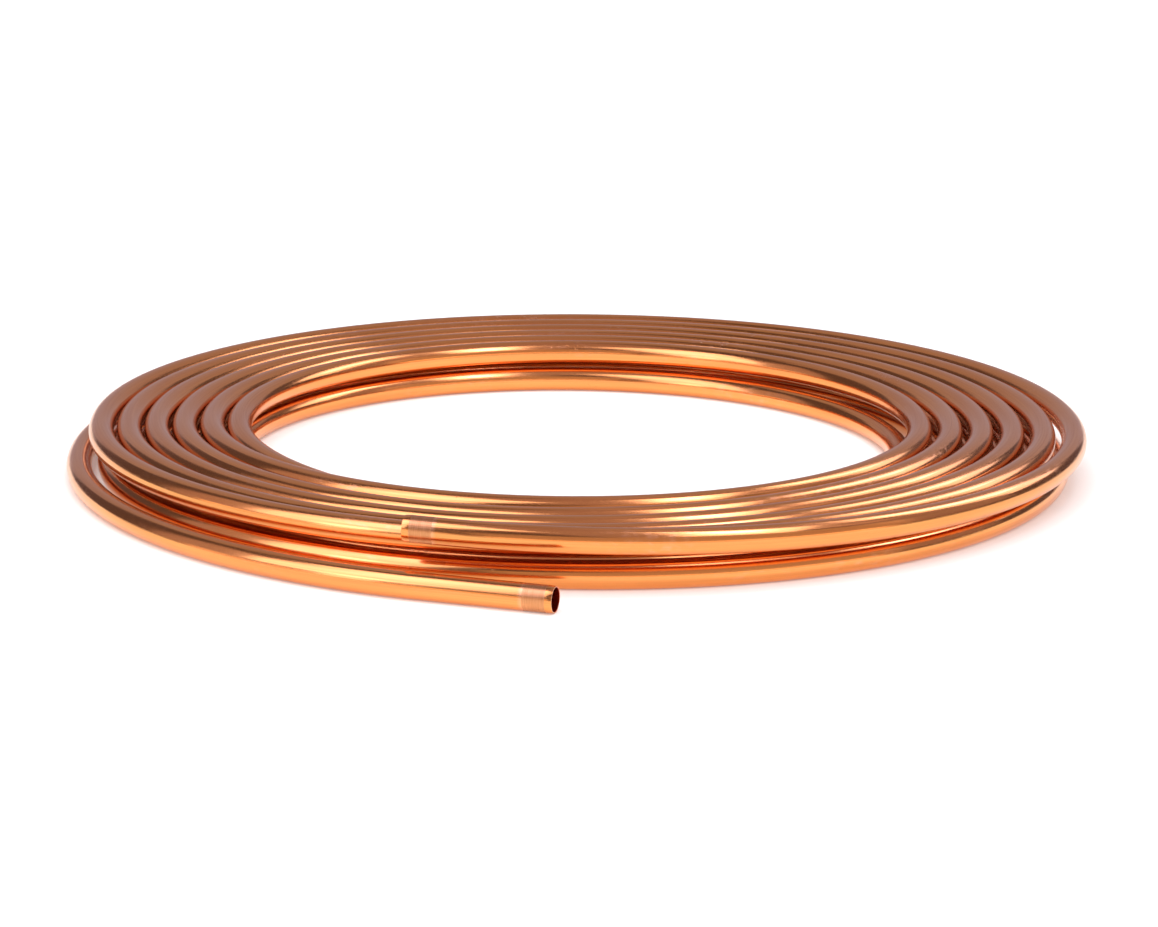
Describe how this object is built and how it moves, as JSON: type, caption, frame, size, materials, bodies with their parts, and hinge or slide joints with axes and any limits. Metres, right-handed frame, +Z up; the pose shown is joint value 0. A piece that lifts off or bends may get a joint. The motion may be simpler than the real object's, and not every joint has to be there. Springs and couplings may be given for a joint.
{
  "type": "copper tube coil",
  "caption": "Flat two-layer coil of soft round copper tube with an open eye, both tube ends free at the outside, for running refrigerant or water lines.",
  "frame": {"origin": "on the ground, under the middle of the coil's outline in plan", "axes": "+Z up along the axis of the eye; -Y towards the side where both tube ends are; +X the way the lower end points"},
  "size_m": [0.6486, 0.6666, 0.0429],
  "materials": {
    "copper": "bright drawn copper"
  },
  "bodies": {
    "root": {"copper_tube": "copper"}
  },
  "joints": []
}
